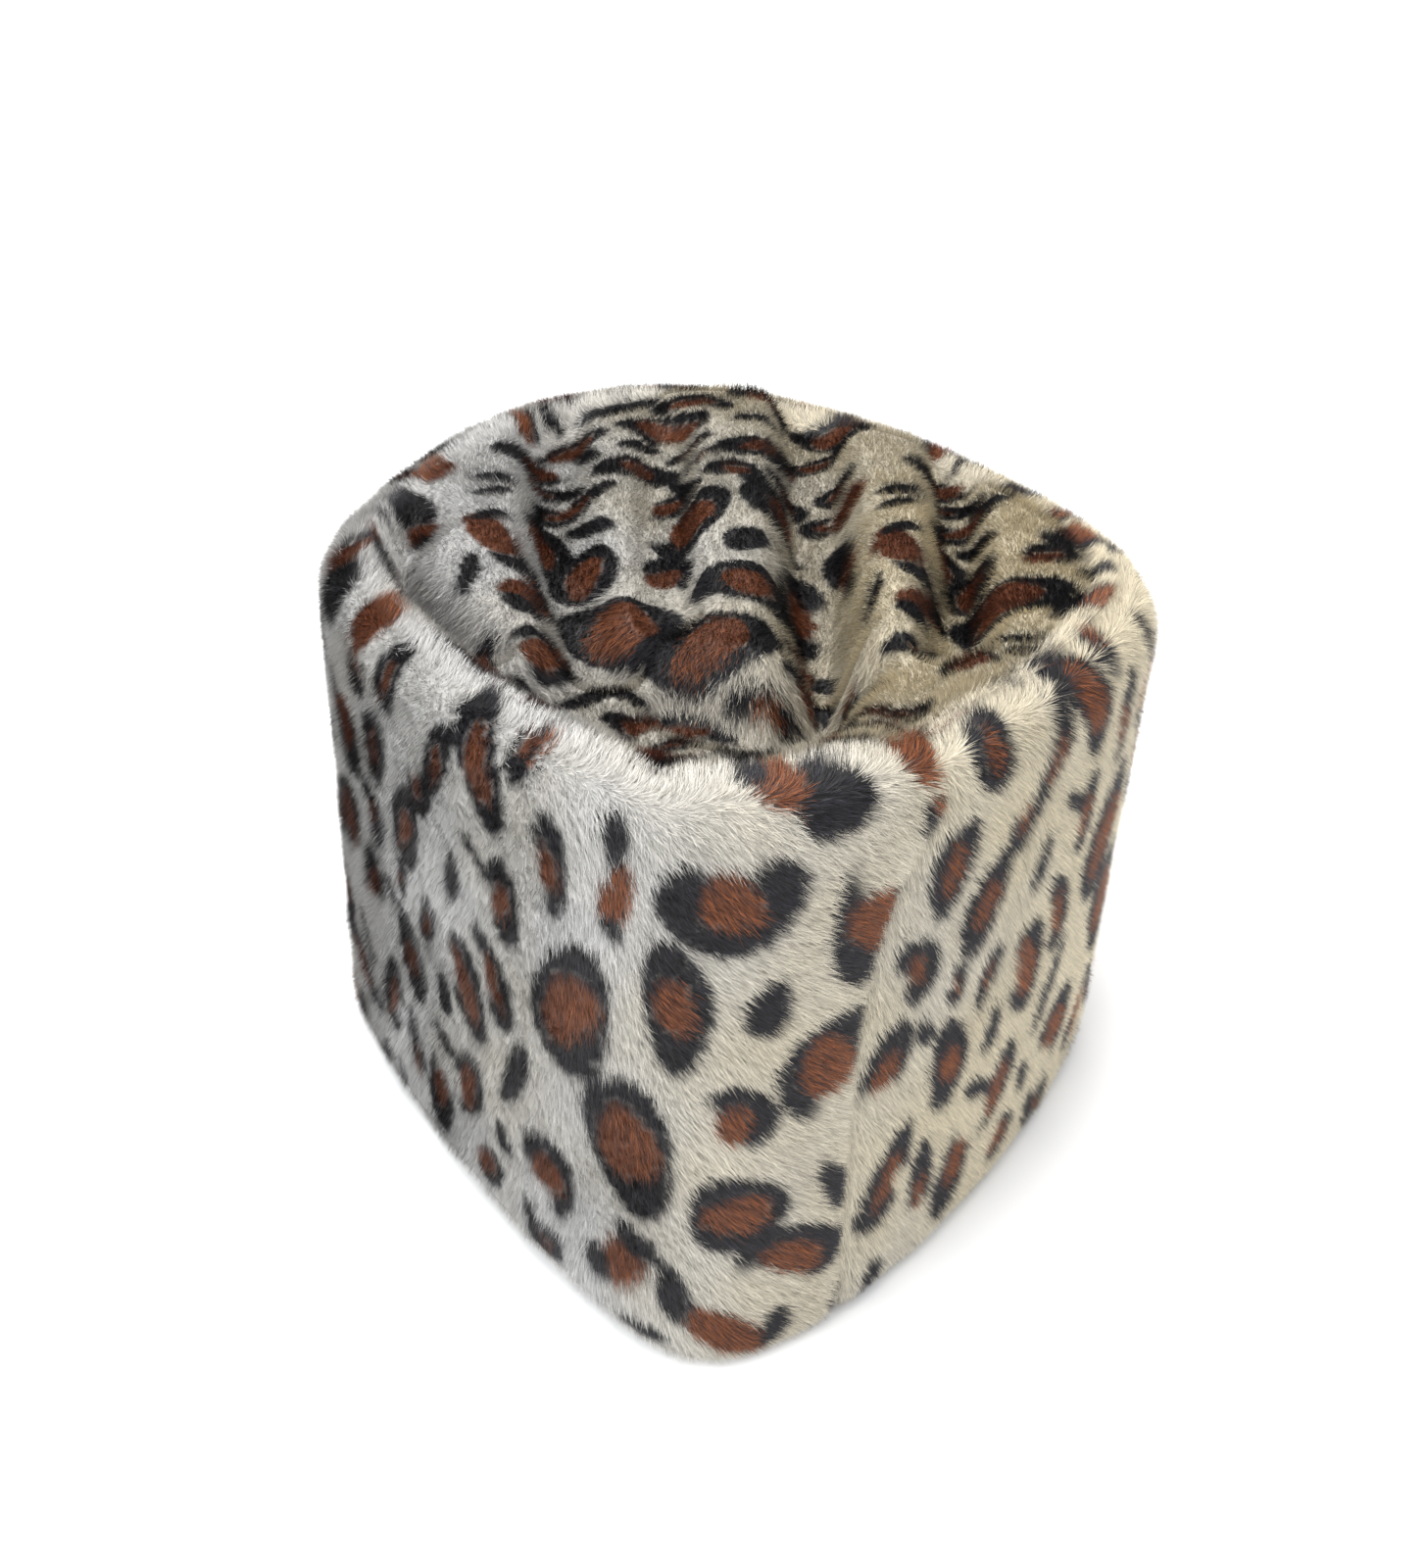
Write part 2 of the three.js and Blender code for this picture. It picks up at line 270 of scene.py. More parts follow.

# %% [markdown]
# A leopard print is rings with brown middles, rings that are open on one side, and solid spots.
# One repeat of the cloth is charted, a row for each mark: its place, half width and half
# height in millimetres, the tilt of its long way, the share of it that is brown, and where its
# dark rim is missing. A brown share over 1 is a brown mark with no rim. The edges wobble, each in
# its own way, because a plain ellipse looks stamped. Both pieces are cut from this cloth.

# %% One repeat of the print
REPEAT = (142, 140)
MARKS = [
    (-29.5, 76, 9.5, 16, 24, 0.64, 0, 0), (-16.5, 51, 10.5, 15, -4, 0.64, 0, 0),
    (-6.5, 85.5, 7, 12.5, -8, 0.56, 0, 0), (10.5, 85, 4, 5.5, 10, 0, 0, 0),
    (3.5, 107, 12.5, 10.5, 0, 0.52, 92, 70), (23, 123.5, 7, 6.5, 0, 0, 0, 0),
    (12.5, 128, 5.5, 4.5, 0, 1.3, 0, 0), (7, 130, 4.5, 2.5, 20, 0, 0, 0),
    (31, 98, 9.5, 12.5, -6, 0.55, 75, 75), (22.5, 69, 9, 11, 18, 0.64, -70, 60),
    (4.5, 61, 7, 8.5, 30, 0.5, 215, 150), (5.5, 38.5, 8, 10.5, 82, 0.62, 0, 0),
    (17, 24, 7.5, 13.5, -62, 0.55, 235, 120), (26, 37.5, 3, 7, -18, 0, 0, 0),
    (-6.5, 17, 4, 6.8, -15, 0, 0, 0), (4, 8, 4.6, 9, -58, 1.3, 0, 0),
    (13.5, 7, 2.8, 4.6, 10, 0, 0, 0), (-17.5, 20, 4, 9, 28, 1.3, 0, 0),
    (-14.5, 26.5, 4.6, 3.8, 10, 0, 0, 0), (-24.5, 15, 3, 4.5, 10, 0, 0, 0),
    (-38, 28.5, 8.5, 9.5, 8, 0.56, 235, 80), (-47, 48, 3.2, 10.5, 22, 0, 0, 0),
    (-53.5, 25.5, 2.4, 4.2, -20, 0, 0, 0), (-62, 61.5, 6, 13.5, -14, 0.64, 165, 90),
    (-51.5, 69.5, 4.4, 12.5, -14, 0.52, 190, 120), (-46.5, 91.5, 4.8, 10, 6, 0.5, 200, 90),
    (-54, 98.5, 1.8, 4, -50, 0, 0, 0), (-62.5, 88.5, 2.5, 5.5, 8, 0, 0, 0),
    (-33, 106, 4.6, 10, -4, 0.5, 195, 130), (-18, 117, 2.3, 5, -6, 0, 0, 0),
    (-17.6, 106.5, 3, 7, 20, 1.3, 0, 0), (-18.8, 99.5, 2.4, 2.4, 0, 0, 0, 0),
    (-50.5, 118.5, 6, 12.5, -18, 0.6, 0, 0), (-38.5, 126.5, 3.6, 7, 28, 0.5, 40, 110),
    (-64, 113, 3.4, 11, 24, 0.5, 0, 0), (-66, 31.5, 5.2, 11.5, 20, 0.64, 210, 60),
    (-61, 13, 5.5, 6.5, 40, 0.64, 160, 120), (-40.5, 7, 4, 7, 75, 0.4, 0, 0),
    (-45.5, 11.5, 2.2, 2.8, 0, 0, 0, 0), (-14, 4, 2.4, 6, 80, 0, 0, 0),
    (45, 127.5, 6, 6, 0, 1.3, 0, 0), (45, 116.5, 4.2, 6, -8, 0.4, 90, 90),
    (50, 102, 4.6, 10.5, 14, 0.5, 0, 0), (43.5, 82.5, 4.8, 8.6, -14, 0.45, 200, 60),
    (61, 89, 5.6, 11.4, 26, 0.5, 0, 0), (37.5, 61.5, 5.3, 10.6, 22, 0.5, 260, 70),
    (55.5, 52, 6, 10.8, -6, 0.5, 0, 0), (47.5, 65, 2.2, 3.8, -40, 0, 0, 0),
    (66, 68.5, 2.8, 7.5, 16, 0.5, 0, 0), (40, 31, 5, 14.2, 22, 0.5, -30, 60),
    (55, 73, 2.6, 5, 12, 0.4, 150, 70),
    (50.5, 20.5, 3.6, 13.5, 4, 0.4, -90, 60), (62, 19.5, 5.8, 13.8, 14, 0.5, 60, 70),
    (68, 37, 2.4, 5.6, -65, 0, 0, 0), (38, 5, 2.7, 5.6, 0, 0, 0, 0),
    (60, 121.5, 4, 7.4, 20, 0.5, 0, 0), (69.5, 103, 4.4, 6.6, 15, 0.45, 100, 80),
    (70, 52, 2.9, 5.6, 10, 0, 0, 0), (29, 5, 2.4, 4.5, 30, 0, 0, 0),
]
# where the band's two ends are sewn together: height up the band, and way around
BAND_SEAM = ((0, 29.5), (70, 30.5), (88, 33), (104, 39), (116, 47), (140, 54))


def seam_way(up):
    """Way around to the band's seam, at a height."""
    return np.interp(up, [row[0] for row in BAND_SEAM], [row[1] for row in BAND_SEAM])


# The dark ink creeps this far into the ground and the brown, and its edge is this soft.
INK_CREEP, INK_SOFT = 0.35, 0.9
# how much the edge of a mark wobbles, twice around and three times around
WOBBLE_TWICE, WOBBLE_THRICE = 0.09, 0.07
# degrees over which the dark rim fades at its opening
GAP_FADE = 24
# how far from its middle a mark can be found, in its own half sizes
MARK_REACH = 1.35


def cloth_print(across, up, grown=1.0, seam=False):
    """How dark and how brown the print is at places on the cloth, each from 0 to 1."""
    dark, brown = np.zeros_like(across), np.zeros_like(across)
    for i, (x, y, half_w, half_h, tilt, middle, gap, gap_width) in enumerate(MARKS):
        half_w, half_h = half_w * grown, half_h * grown
        dx = (across - x + REPEAT[0] / 2) % REPEAT[0] - REPEAT[0] / 2
        dy = (up - y + REPEAT[1] / 2) % REPEAT[1] - REPEAT[1] / 2
        near = np.flatnonzero(np.hypot(dx, dy) < MARK_REACH * max(half_w, half_h))
        dx, dy = dx[near], dy[near]
        turn = math.radians(-tilt)
        px = (dx * math.cos(turn) + dy * math.sin(turn)) / half_w
        py = (dy * math.cos(turn) - dx * math.sin(turn)) / half_h
        theta = np.arctan2(py, px)
        wobble = WOBBLE_TWICE * np.sin(2 * theta + i) + WOBBLE_THRICE * np.sin(3 * theta + 2.3 * i)
        reach = np.hypot(px, py)
        soft = INK_SOFT / (half_w + half_h)
        creep = 2 * INK_CREEP / (half_w + half_h)
        inside = 1 - ease((reach * (1 + wobble) - 1 - creep) / soft + 0.5)
        core = 1 - ease((reach * (1 - wobble) - middle + creep) / soft + 0.5)
        rim = inside * (1 - core) if middle < 1 else 0 * inside
        if gap_width:
            off = (np.degrees(np.arctan2(dy, dx)) - gap + 180) % 360 - 180
            rim *= ease((np.abs(off) - gap_width / 2) / GAP_FADE + 0.5)
        warm = inside * (1 - ease((reach * (1 - wobble) - middle) / soft - 0.5))
        if seam:
            own = (x > seam_way(y)) == (across[near] > seam_way(up[near]))
            same = own | (np.abs(across[near] - x) > REPEAT[0] / 2)
            rim, warm = rim * same, warm * same
        dark[near] = np.maximum(dark[near] * (1 - inside * core), rim)
        brown[near] = np.maximum(brown[near], warm)
    return dark, brown


def band_print(way, up):
    """The print on the band, whose marks are cut off at the seam."""
    return cloth_print(way, up, seam=True)


# How the crown was laid on the cloth when it was cut. Fine gathers, too small to model, take up
# some more of it than the folds do, and close the pale ground between its marks. The cloth lies
# a quarter turn from the band's, so its long marks run across.
CROWN_LAID = (2, 76)
GATHERED_ACROSS, GATHERED_BACK = 1.2, 1.25
CLOSED_UP = 1.12


def crown_print(x, y):
    """The print on the crown at a place in plan."""
    across, back = crown_way(x, y)
    return cloth_print(
        back * GATHERED_BACK + CROWN_LAID[0], across * GATHERED_ACROSS + CROWN_LAID[1], CLOSED_UP
    )


print(len(MARKS), "marks in a repeat of", REPEAT, "mm")

# %% [markdown]
# The band's skin is the knitted backing, closed like a real strip of cloth with two faces and a
# turned-up hem. It could be a bare sheet with its thickness added by a modifier, but the hem and
# the rim have thicknesses of their own. So a grid is carried around the hat, a row for each step of
# the section, and its ends and its first and last rows are welded. The pile stands between this
# skin and the outer form. Where the band's ends are sewn, the stitches pull a shallow groove.

# %% Backing of the band
PILE_HEIGHT = 2.0
GROOVE_DEPTH, GROOVE_HALF = 1.3, 1.8
# The backing's foot stands this high in the pile, and is drawn in over its lowest stretch.
FOOT_UP, FOOT_DRAWN_IN, FOOT_STRETCH = 1.0, 0.8, 1.6
# length of the rim's turn along the cloth, in its radii
TURN_CLIMB = 1.3
# the hem's rows: how high, and how far drawn back from its full thickness
HEM_ROWS = ((HEM_HEIGHT, 0.0), (HEM_HEIGHT / 2, 0.0), (3.0, 0.0), (1.4, 0.6), (0.9, 2.0))
OUTER_ROWS, TURN_ROWS, INNER_ROWS = 60, 9, 16
ROUND_COLUMNS = 300


def groove(angle, up):
    """Depth of the seam's groove."""
    off = (band_way(angle) - seam_way(up)) / GROOVE_HALF
    return GROOVE_DEPTH * np.exp(-(off**2))


def outer_face(angle, share):
    """The backing's outer face: share runs to 1 up the wall, and on to 2 over the rim's turn."""
    angle, share = np.broadcast_arrays(angle, share)
    wall_top = rim_height(angle) - RIM_ROLL
    height = FOOT_UP + np.clip(share, 0, 1) * (wall_top - FOOT_UP)
    foot_turn = FOOT_DRAWN_IN * np.exp(-((height - FOOT_UP) / FOOT_STRETCH) ** 2)
    inset = PILE_HEIGHT + foot_turn + groove(angle, height)
    wall = wall_point(angle, height, inset)
    turn = np.clip(share - 1, 0, 1)
    turn_inset = PILE_HEIGHT + groove(angle, wall_top + RIM_ROLL * turn * TURN_CLIMB)
    over = rim_point(angle, turn, turn_inset)
    return np.where((share > 1)[..., None], over, wall)


def climb(angle, share):
    """Way up the band's cloth from its foot, in millimetres."""
    wall_top = rim_height(angle) - RIM_ROLL
    turn_length = (RIM_ROLL - PILE_HEIGHT) * math.pi / 2
    return np.clip(share, 0, 1) * wall_top + np.clip(share - 1, 0, 1) * turn_length


def band_section(angle):
    """Rows of the band's closed section, from the foot up the outside and down the inside."""
    hem_inset = CLOTH_AND_PILE + HEM_CLOTH
    rows = [outer_face(angle, share) for share in np.linspace(0, 1, OUTER_ROWS)]
    rows += [outer_face(angle, 1 + share) for share in np.linspace(0, 1, TURN_ROWS)[1:]]
    inner = angle * 0 + CLOTH_AND_PILE
    rows += [rim_point(angle, share, inner) for share in np.linspace(1, 0, TURN_ROWS)]
    wall_top = rim_height(angle) - RIM_ROLL
    plain = HEM_HEIGHT + HEM_TAPER
    rows += [
        wall_point(angle, plain + (wall_top - plain) * share, inner)
        for share in np.linspace(1, 0, INNER_ROWS)[1:]
    ]
    rows += [
        wall_point(angle, angle * 0 + up, angle * 0 + hem_inset - back) for up, back in HEM_ROWS
    ]
    return rows


# points nearer than this, in metres, are one
WELD = 0.00001


def grid_mesh(name, rows):
    """A mesh from rows of points that go around the hat, welded where they close."""
    columns = len(rows[0])
    work = bmesh.new()
    bmesh.ops.create_grid(work, x_segments=columns - 1, y_segments=len(rows) - 1, size=0.5)
    places = np.array([vert.co[:2] for vert in work.verts])
    column = np.rint((places[:, 0] + 0.5) * (columns - 1)).astype(int)
    row = np.rint((places[:, 1] + 0.5) * (len(rows) - 1)).astype(int)
    points = np.stack(rows)[row, column]
    points[:, :2] -= PLAN_MIDDLE
    for vert, point in zip(work.verts, points * MM):
        vert.co = point
    maps = work.loops.layers.uv.new("OFBake")
    for face in work.faces:
        for loop in face.loops:
            at = loop.vert.index
            loop[maps].uv = (column[at] / (columns - 1), row[at] / (len(rows) - 1))
    bmesh.ops.remove_doubles(work, verts=work.verts[:], dist=WELD)
    loose = [edge for edge in work.edges if not edge.link_faces]
    bmesh.ops.delete(work, geom=loose, context="EDGES")
    bmesh.ops.recalc_face_normals(work, faces=work.faces[:])
    for face in work.faces:
        face.smooth = True
    mesh = bpy.data.meshes.new(name)
    work.to_mesh(mesh)
    work.free()
    piece = bpy.data.objects.new(name, mesh)
    bpy.context.scene.collection.objects.link(piece)
    return piece


round_turns = np.linspace(0, FULL_TURN, ROUND_COLUMNS + 1)
section = band_section(round_turns)
section.append(section[0])
band = grid_mesh("band_backing", section)
print(band.name, len(band.data.polygons), "faces")

# %% [markdown]
# The crown's backing is the same cloth: its upper face lies under the pile, its lower face is the
# inside of the hat, and the two meet in a raw edge at the seam. Moved square to itself, the upper
# face would cross over in the narrow valleys, so it is dropped straight down instead, and further
# where it is steep.

# %% Backing of the crown
CROWN_ROWS, CROWN_UNDER_ROWS = 62, 40
# The innermost ring closes to a point, and a drop is never more than this many depths.
INNERMOST = 0.015
STEEPEST_DROP = 1.5


def sunk(points, depth):
    """A surface of rows and columns dropped so that it lies a depth below, measured square to it."""
    across = np.gradient(points, axis=1)
    across[:, 0] = across[:, -1] = (points[:, 1] - points[:, -2]) / 2
    normal = np.cross(across, np.gradient(points, axis=0))
    length = np.linalg.norm(normal, axis=-1, keepdims=True)
    normal = np.where(length > 1e-9, normal / np.maximum(length, 1e-9), (0, 0, 1))
    drop = depth * np.minimum(1 / np.maximum(normal[..., 2], 0.2), STEEPEST_DROP)
    return points - np.stack([drop * 0, drop * 0, drop], -1)


def crown_rows(shares):
    return crown_point(round_turns[None], np.asarray(shares)[:, None])


shares = np.linspace(1, INNERMOST, CROWN_ROWS)
upper = sunk(crown_rows(shares), PILE_HEIGHT)
lower = crown_rows(np.linspace(INNERMOST, 1, CROWN_UNDER_ROWS)) - (0, 0, CLOTH_AND_PILE)
upper[0] = crown_point(round_turns, round_turns * 0 + 1.0) - (0, 0, PILE_HEIGHT)
lower[-1] = upper[0] - (0, 0, CLOTH_AND_PILE - PILE_HEIGHT)
middles = [np.broadcast_to(rows.mean(0), rows.shape) for rows in (upper[-1], lower[0])]
crown_surface = [*upper, *middles, *lower, upper[0]]
crown = grid_mesh("crown_backing", crown_surface)
print(crown.name, len(crown.data.polygons), "faces")

# %% [markdown]
# The pile is what is seen. Real fur cloth has thousands of fine hairs on each square centimetre;
# here about seven strands to a square millimetre stand for tufts of them. Each strand is one
# slender triangle that leans over as brushed pile does. A bump in the material would be cheaper,
# but it leaves the rim and the folds with a hard edge, and the print without its hairy borders.
# Strands are scattered evenly over a surface, combed along the nap with some disorder, and drawn
# together in small clumps.

# %% Scattering and combing
rng = np.random.default_rng(11)
# a clump's width, and how many clumps there are before their places repeat
CLUMP, TABLE = 0.9, 140
clump_table = rng.random((TABLE, TABLE, 3))
print("clumps", CLUMP, "mm apart, which repeat after", round(CLUMP * TABLE), "mm")


def unit(vectors):
    return vectors / np.maximum(np.linalg.norm(vectors, axis=-1, keepdims=True), 1e-9)


def between(field, i, j, s, t):
    """Values of a grid's field at places between its points."""
    if field.ndim == 3:
        s, t = s[:, None], t[:, None]
    low = field[i, j] * (1 - s) + field[i + 1, j] * s
    high = field[i, j + 1] * (1 - s) + field[i + 1, j + 1] * s
    return low * (1 - t) + high * t


def scatter(points, fields, count, thick=1.0):
    """Places spread evenly over a surface grid, with their normals and the fields' values."""
    step_a, step_b = np.gradient(points, axis=0), np.gradient(points, axis=1)
    normal = unit(np.cross(step_a, step_b))
    area = np.linalg.norm(np.cross(step_a, step_b), axis=-1)[:-1, :-1]
    chance = (area * np.broadcast_to(thick, points.shape[:2])[:-1, :-1]).ravel()
    picked = rng.choice(chance.size, count, p=chance / chance.sum())
    i, j = np.unravel_index(picked, area.shape)
    s, t = rng.random((2, count))
    place = between(points, i, j, s, t)
    return place, unit(between(normal, i, j, s, t)), [between(f, i, j, s, t) for f in fields]


def clump_pull(across, up):
    """Way to the middle of the clump that a place on the cloth belongs to, and its number."""
    cell_a, cell_b = np.floor(across / CLUMP).astype(int), np.floor(up / CLUMP).astype(int)
    nearest = np.full(len(across), np.inf)
    pull = np.zeros((len(across), 3))
    for a in (-1, 0, 1):
        for b in (-1, 0, 1):
            seed = clump_table[(cell_a + a) % TABLE, (cell_b + b) % TABLE]
            da = (cell_a + a + seed[:, 0]) * CLUMP - across
            db = (cell_b + b + seed[:, 1]) * CLUMP - up
            far = np.hypot(da, db)
            closer = far < nearest
            nearest = np.where(closer, far, nearest)
            pull = np.where(closer[:, None], np.stack([da, db, seed[:, 2]], 1), pull)
    return pull


# about the most that the sum of seven waves reaches
WAVES_SPAN = 3.2


def waves(across, up, scale, seed):
    """Soft disorder from -1 to 1 that changes over about a scale in millimetres."""
    spread = np.random.default_rng(seed)
    total = np.zeros_like(across)
    for turn, shift, size in zip(*spread.random((3, 7))):
        pace = FULL_TURN / (scale * (1.2 + 1.6 * size))
        way = across * math.cos(FULL_TURN * turn) + up * math.sin(FULL_TURN * turn)
        total += np.sin(way * pace + FULL_TURN * shift)
    return total / WAVES_SPAN


# %% [markdown]
# A strand's own colour comes from the print at its root, looked up a little to one side, so that
# the marks get the soft hairy edges of printed pile. The mesh carries it with two more numbers:
# one by chance for each strand, and how far along the strand a point is. No operator makes so many
# triangles in a short time, so they are written into the mesh in one go. Each takes its shading
# mostly from the cloth below it, as a lock of hair does, and not from its own flat side.

# %% Strands
PRINT_BLUR = 0.5
# degrees that a strand leans from upright, their spread, and how far ruffling lifts it
LEAN, LEAN_SPREAD, RUFFLE_LIFT = 48, 9, 14
# degrees by which single strands and whole clumps are out of line
STRAND_SPREAD, CLUMP_TURN = 13, 26
# share of the way to its clump's middle that a tip is drawn
GATHER = 0.25
# least half width of a strand and what chance adds, and the least height above the floor
THIN, THICKER, OFF_THE_FLOOR = 0.045, 0.045, 0.05
# shares of the cloth's direction and the strand's own in its shading, and the disorder of both
CLOTH_SHADE, OWN_SHADE, SHADE_SPREAD = 0.75, 0.25, 0.2


def strands(name, root, normal, right, comb, way, length, ruffle, look_up, flat_places):
    """What a mesh of strands needs. Comb is their direction on the cloth, in degrees from right."""
    count = len(root)
    rise = np.cross(normal, right)
    pull = clump_pull(*way)
    own_turn = rng.normal(0, STRAND_SPREAD, count) * ruffle
    turn = np.radians(comb + own_turn + (pull[:, 2] - 0.5) * CLUMP_TURN * ruffle)
    lie = unit(right * np.cos(turn)[:, None] + rise * np.sin(turn)[:, None])
    side = np.cross(lie, normal)
    chance = rng.random(count)
    long = (length * (0.8 + 0.4 * rng.random(count)))[:, None]
    lean = LEAN + rng.normal(0, LEAN_SPREAD, count) - RUFFLE_LIFT * (ruffle - 1)
    lean = np.radians(lean)[:, None]
    gather = GATHER * (right * pull[:, :1] + rise * pull[:, 1:2])
    tip = root + (normal * np.cos(lean) + lie * np.sin(lean)) * long + gather
    half = (THIN + THICKER * rng.random(count))[:, None] * side
    corners = np.stack([root - half, root + half, tip], 1)
    corners[..., 2] = np.maximum(corners[..., 2], OFF_THE_FLOOR)
    jitter = rng.normal(0, PRINT_BLUR, (2, count))
    dark, brown = look_up(jitter)
    along = np.array([0.0, 0.0, 1.0])
    paint = np.stack([dark, brown, chance], 1)[:, None].repeat(3, 1)
    paint = np.concatenate([paint, along[None, :, None].repeat(count, 0)], 2)
    over = unit(np.cross(side, unit(tip - root)))
    over = over * np.sign((over * normal).sum(1))[:, None]
    bent = unit(CLOTH_SHADE * normal + OWN_SHADE * over)
    bent = unit(bent + rng.normal(0, SHADE_SPREAD, (count, 3)))
    return name, corners, paint, bent, flat_places


# side of the patch that a strand has on the flat cloth, as a share of the whole
FLAT_PATCH = 0.0006


def strand_mesh(name, corners, paint, bent, flat_places):
    """A joined mesh of strands, three points each."""
    count = len(corners)
    mesh = bpy.data.meshes.new(name)
    points = corners.reshape(-1, 3).copy()
    points[:, :2] -= PLAN_MIDDLE
    mesh.vertices.add(3 * count)
    mesh.vertices.foreach_set("co", (points * MM).ravel())
    mesh.loops.add(3 * count)
    mesh.loops.foreach_set("vertex_index", np.arange(3 * count))
    mesh.polygons.add(count)
    mesh.polygons.foreach_set("loop_start", 3 * np.arange(count))
    mesh.polygons.foreach_set("loop_total", np.full(count, 3))
    mesh.update(calc_edges=True)
    carried = mesh.attributes.new("print", "FLOAT_COLOR", "POINT")
    carried.data.foreach_set("color", paint.astype(np.float32).ravel())
    maps = mesh.uv_layers.new(name="OFBake")
    spread = np.array([[0, 0], [1, 0], [0, 1]]) * FLAT_PATCH
    flat = (flat_places[:, None] + spread[None]).reshape(-1, 2)
    maps.data.foreach_set("uv", flat.astype(np.float32).ravel())
    mesh.polygons.foreach_set("use_smooth", np.ones(count, bool))
    mesh.normals_split_custom_set_from_vertices(bent.repeat(3, 0))
    mesh.validate()
    piece = bpy.data.objects.new(name, mesh)
    bpy.context.scene.collection.objects.link(piece)
    return piece


# %% [markdown]
# The band was cut with its nap running around the hat from left to right, so that near the corner
# the pile lies sideways. Past the seam lies the other end of the strip, which was turned, and its
# pile lies down. Over the rim at the corner the pile has been ruffled and stands a little longer.
# One mesh of the whole pile would be too big to handle, so the band's has three stretches.

# %% Pile of the band
STRANDS_A_PIECE = 196000
# degrees from the way around: left of the seam, right of it, over the corner's rim and at the crown
NAP_LEFT, NAP_RIGHT, NAP_CORNER, NAP_BY_CROWN = -20, -76, -38, 80
PILE_LENGTH = 2.9
# how many more strands stand where the pile of the two pieces meets, as a share
MEETING_THICK = 0.9
# the ruffled stretch of the rim: its way around, half width, least height and fade
RUFFLED_AT, RUFFLED_HALF, RUFFLED_FROM, RUFFLED_FADE = -2, 24, 100, 16
# how much shorter the pile is beside the seam and at the foot, and the heights over which it grows
SHORT_BY_SEAM, SHORT_AT_FOOT, FOOT_FROM, FOOT_SPAN = 0.3, 0.28, 1, 5

band_angles = np.linspace(0, FULL_TURN, 721)
band_shares = np.concatenate([np.linspace(0, 1, 81), np.linspace(1, 2, 15)[1:]])
angle_grid, share_grid = np.meshgrid(band_angles, band_shares, indexing="ij")
band_points = outer_face(angle_grid, share_grid)
band_fields = [
    angle_grid, climb(angle_grid, share_grid), np.gradient(band_points, axis=0), share_grid,
]
band_thick = 1 + MEETING_THICK * ease((share_grid - 1.6) / 0.3)


def from_seam(way, up):
    """Way around from the seam on to its other side, from 0 to 1."""
    return ((way - seam_way(up)) / (way_round[-1] - way_round[0])) % 1.0


def band_pile(name, first, last, count):
    """Pile of a stretch of the band between two columns of its grid."""
    fields = [field[first:last] for field in band_fields]
    root, normal, (angle, up, right, share) = scatter(
        band_points[first:last], fields, count, band_thick[first:last]
    )
    right = unit(right - normal * (right * normal).sum(1)[:, None])
    way = band_way(angle)
    past = from_seam(way, up)
    comb = NAP_RIGHT + (NAP_LEFT - NAP_RIGHT) * ease((past - 0.1) / 0.6)
    comb = comb + 14 * waves(way, up, 26, 3)
    corner_rim = np.exp(-((way - RUFFLED_AT) / RUFFLED_HALF) ** 2)
    corner_rim = corner_rim * ease((up - RUFFLED_FROM) / RUFFLED_FADE)
    comb = comb + (NAP_CORNER - comb) * 0.8 * corner_rim
    by_crown = ease((share - 1.45) / 0.4)
    comb = comb + (NAP_BY_CROWN - comb) * by_crown
    ruffle = 1 + 0.25 * corner_rim + 0.25 * waves(way, up, 14, 5)
    near_seam = np.exp(-(((way - seam_way(up)) / 2.0) ** 2))
    length = PILE_LENGTH * (1 + 0.1 * corner_rim + 0.12 * waves(way, up, 9, 8))
    length = length * (1 - SHORT_BY_SEAM * near_seam)
    length = length * (1 - SHORT_AT_FOOT * (1 - ease((up - FOOT_FROM) / FOOT_SPAN)))
    flat = np.stack([angle / FULL_TURN, up / REPEAT[1]], 1)

    def look_up(jitter):
        return band_print(way + jitter[0], up + jitter[1])

    made = strands(name, root, normal, right, comb, (way, up), length, ruffle, look_up, flat)
    return strand_mesh(*made)


third = len(band_angles) // 3
pile = [
    band_pile("band_pile_right", 0, third + 1, STRANDS_A_PIECE),
    band_pile("band_pile_back", third, 2 * third + 1, STRANDS_A_PIECE),
    band_pile("band_pile_left", 2 * third, len(band_angles), STRANDS_A_PIECE),
]
print("band pile", sum(len(piece.data.polygons) for piece in pile), "triangles")

# %% [markdown]
# The crown's pile lies towards the corner and down the folds. Along its seam on the right it is
# longer and ragged, where the cloth was gathered and the pile was never brushed.

# %% Pile of the crown
# degrees from the right, which is towards the corner, and where the pile is ragged, in radians
CROWN_NAP = -100
RAGGED_AT, RAGGED_HALF, RAGGED_TURN = 1.15, 0.6, 55
CROWN_WIDTH = 200
crown_turns = np.linspace(0, FULL_TURN, 541)
crown_shares = np.linspace(1, 0.01, 121)
turn_grid, share_grid = np.meshgrid(crown_turns, crown_shares, indexing="ij")
crown_top = crown_point(turn_grid, share_grid)
crown_points = sunk(crown_top.transpose(1, 0, 2), PILE_HEIGHT).transpose(1, 0, 2)


